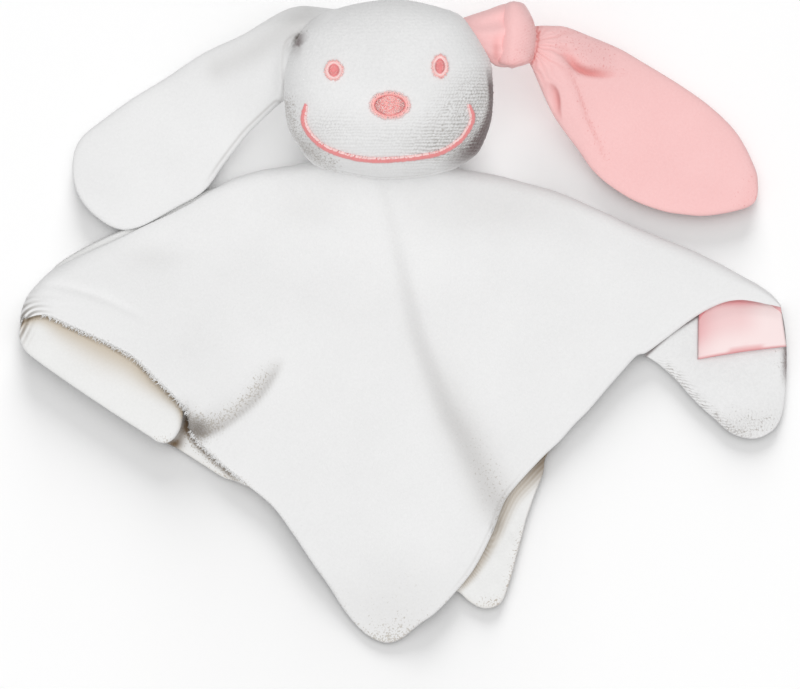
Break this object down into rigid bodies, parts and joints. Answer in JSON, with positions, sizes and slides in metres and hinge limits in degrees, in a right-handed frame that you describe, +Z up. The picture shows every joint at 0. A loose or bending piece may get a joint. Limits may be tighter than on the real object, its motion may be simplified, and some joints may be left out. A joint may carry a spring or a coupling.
{
  "type": "comfort blanket lovey",
  "caption": "Comfort blanket with a stuffed bunny head sewn to the middle of a soft two-ply cloth, one plain white ear and one knotted pink ear.",
  "frame": {"origin": "middle of the toy's box, on the surface that it lies on", "axes": "+X towards the pink ear, +Y towards the top of the head, +Z up, out of the face"},
  "size_m": [0.322, 0.2706, 0.0626],
  "materials": {
    "white_velour": "short sheared cotton velour",
    "white_terry": "looped terry cloth",
    "pink_velour": "short sheared cotton velour",
    "stuffing_fibre": "polyester fibre filling",
    "pink_thread": "satin-stitched embroidery thread",
    "satin_ribbon": "woven satin ribbon"
  },
  "bodies": {
    "cloth": {"cloth_velour_ply": "white_velour", "cloth_terry_ply": "white_terry", "left_corner_terry_ply": "white_terry", "left_corner_velour_ply": "white_velour"},
    "head": {"head_face_panel": "white_terry", "head_back_panel": "white_terry", "head_stuffing": "stuffing_fibre", "left_eye_ring": "pink_thread", "left_eye_centre": "pink_thread", "right_eye_ring": "pink_thread", "right_eye_centre": "pink_thread", "nose_ring": "pink_thread", "nose_centre": "pink_thread", "mouth_stitch": "pink_thread", "white_ear_root": "white_velour"},
    "white_ear": {"white_ear_front_panel": "white_velour", "white_ear_back_panel": "white_velour"},
    "pink_ear": {"pink_ear_root": "pink_velour", "pink_ear_knot": "pink_velour"},
    "pink_blade": {"pink_ear_front_panel": "pink_velour", "pink_ear_back_panel": "pink_velour"},
    "front_corner": {"front_corner_velour_ply": "white_velour", "front_corner_terry_ply": "white_terry"},
    "right_corner": {"right_corner_velour_ply": "white_velour", "right_corner_terry_ply": "white_terry"},
    "label": {"label_ribbon": "satin_ribbon"}
  },
  "joints": [
    {"name": "head_nod", "type": "hinge", "parent": "cloth", "child": "head", "pos_m": [-0.00696, 0.0589, 0.019], "axis": [1, 0, 0], "range_deg": [0, 60]},
    {"name": "white_ear_lift", "type": "hinge", "parent": "head", "child": "white_ear", "pos_m": [-0.05778, 0.10848, 0.0254], "axis": [-0.2756, 0.9613, 0], "range_deg": [0, 90]},
    {"name": "pink_ear_lift", "type": "hinge", "parent": "head", "child": "pink_ear", "pos_m": [0.03313, 0.11929, 0.036], "axis": [0.5821, -0.8131, 0], "range_deg": [0, 70]},
    {"name": "pink_blade_flex", "type": "hinge", "parent": "pink_ear", "child": "pink_blade", "pos_m": [0.05803, 0.11639, 0.0284], "axis": [0, -1, 0], "range_deg": [0, 45]},
    {"name": "front_corner_fold", "type": "hinge", "parent": "cloth", "child": "front_corner", "pos_m": [-0.00696, -0.05634, 0.0102], "axis": [-1, 0, 0], "range_deg": [0, 165]},
    {"name": "right_corner_fold", "type": "hinge", "parent": "cloth", "child": "right_corner", "pos_m": [0.13163, 0.00687, 0.0084], "axis": [-0.944, -0.33, 0], "range_deg": [0, 170]},
    {"name": "label_flap", "type": "hinge", "parent": "right_corner", "child": "label", "pos_m": [0.1604, -0.00708, 0.0058], "axis": [-0.0605, 0.9982, 0], "range_deg": [0, 170]}
  ]
}
